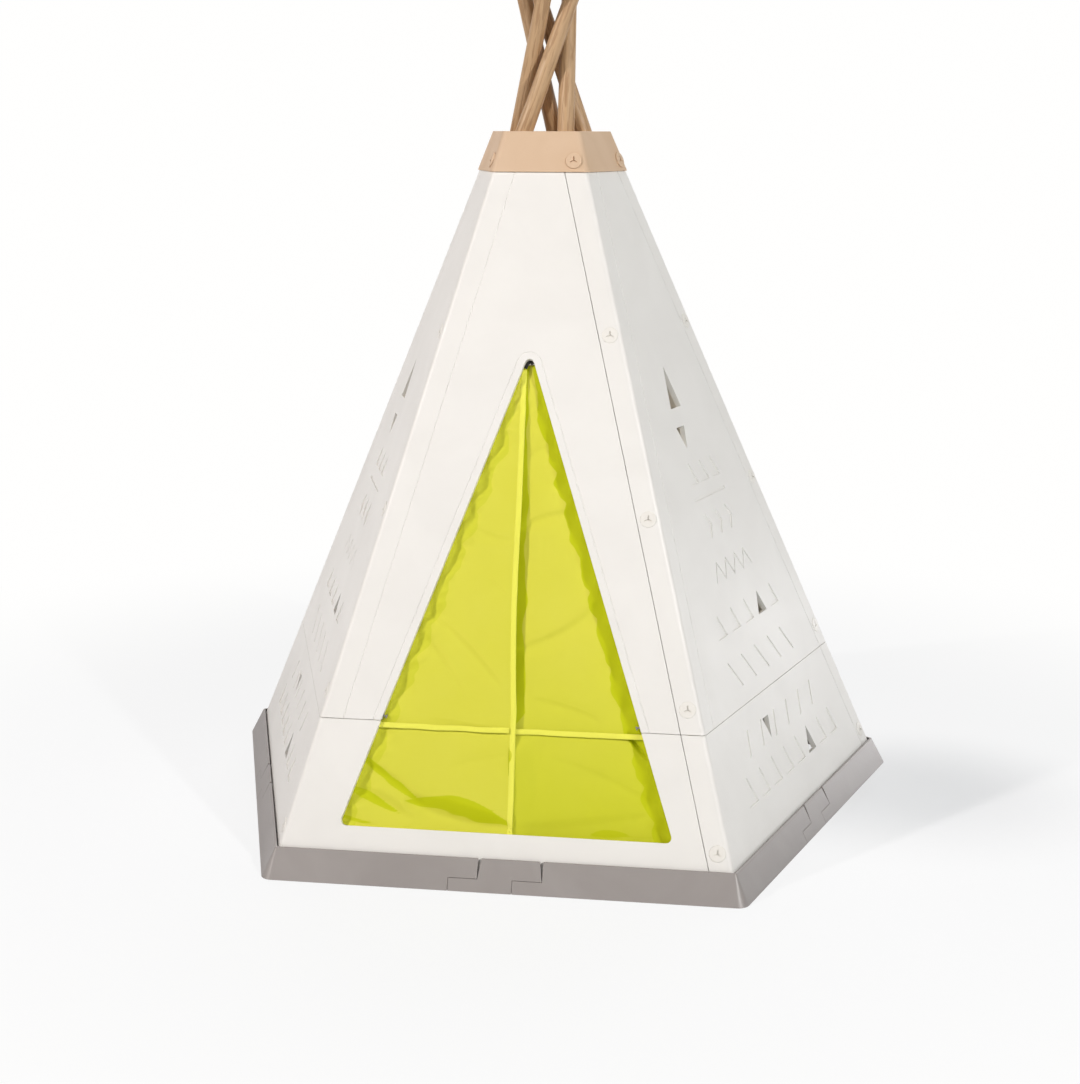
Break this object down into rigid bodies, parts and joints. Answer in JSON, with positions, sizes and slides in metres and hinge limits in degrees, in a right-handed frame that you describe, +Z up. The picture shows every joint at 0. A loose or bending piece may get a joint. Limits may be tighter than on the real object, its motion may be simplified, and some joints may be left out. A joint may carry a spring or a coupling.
{
  "type": "play teepee",
  "caption": "Children's play teepee: tapering moulded wall panels on a base rail, a collar with pole tips, and a two-part cloth door curtain that opens inward.",
  "frame": {"origin": "on the floor, at the middle of the base's outline", "axes": "+Z up, -Y out of the door, +X to the right of someone who looks at the door"},
  "size_m": [1.3142, 1.252, 1.5812],
  "materials": {
    "panel": "fine-textured moulded white",
    "screw": "smooth moulded white",
    "base_rail": "fine-textured moulded warm grey",
    "collar": "moulded beige",
    "pole": "moulded beige-brown with a light grain",
    "peg": "dark moulded",
    "curtain": "thin plain-woven lime cloth",
    "binding": "light lime woven tape"
  },
  "bodies": {
    "shell": {"base_connector_front": "base_rail", "base_connector_left": "base_rail", "base_connector_rear_left": "base_rail", "base_connector_rear_right": "base_rail", "base_connector_right": "base_rail", "base_corner_front": "base_rail", "base_corner_left": "base_rail", "base_corner_rear_left": "base_rail", "base_corner_rear_right": "base_rail", "base_corner_right": "base_rail", "collar": "collar", "collar_screw_front": "collar", "collar_screw_left": "collar", "collar_screw_rear_left": "collar", "collar_screw_rear_right": "collar", "collar_screw_right": "collar", "curtain_hem_left": "curtain", "curtain_hem_right": "curtain", "lower_panel_front": "panel", "lower_panel_left": "panel", "lower_panel_rear_left": "panel", "lower_panel_rear_right": "panel", "lower_panel_right": "panel", "pole_tip_front": "pole", "pole_tip_left": "pole", "pole_tip_rear_left": "pole", "pole_tip_rear_right": "pole", "pole_tip_right": "pole", "screw_front_1": "screw", "screw_front_2": "screw", "screw_front_3": "screw", "screw_front_4": "screw", "screw_left_1": "screw", "screw_left_2": "screw", "screw_left_3": "screw", "screw_left_4": "screw", "screw_rear_left_1": "screw", "screw_rear_left_2": "screw", "screw_rear_left_3": "screw", "screw_rear_left_4": "screw", "screw_rear_right_1": "screw", "screw_rear_right_2": "screw", "screw_rear_right_3": "screw", "screw_rear_right_4": "screw", "screw_right_1": "screw", "screw_right_2": "screw", "screw_right_3": "screw", "screw_right_4": "screw", "strap_peg_left": "peg", "strap_peg_right": "peg", "upper_panel_front": "panel", "upper_panel_left": "panel", "upper_panel_rear_left": "panel", "upper_panel_rear_right": "panel", "upper_panel_right": "panel"},
    "left_flap": {"curtain_flap_left": "curtain", "tie_strap_left": "binding"},
    "right_flap": {"curtain_flap_right": "curtain", "tie_strap_right": "binding"}
  },
  "joints": [
    {"name": "left_flap_swing", "type": "hinge", "parent": "shell", "child": "left_flap", "pos_m": [-0.29257, -0.57498, 0.06655], "axis": [0.3232, 0.3281, 0.8876], "range_deg": [0, 100]},
    {"name": "right_flap_swing", "type": "hinge", "parent": "shell", "child": "right_flap", "pos_m": [0.29257, -0.57498, 0.06655], "axis": [0.3232, -0.3281, -0.8876], "range_deg": [0, 100]}
  ]
}
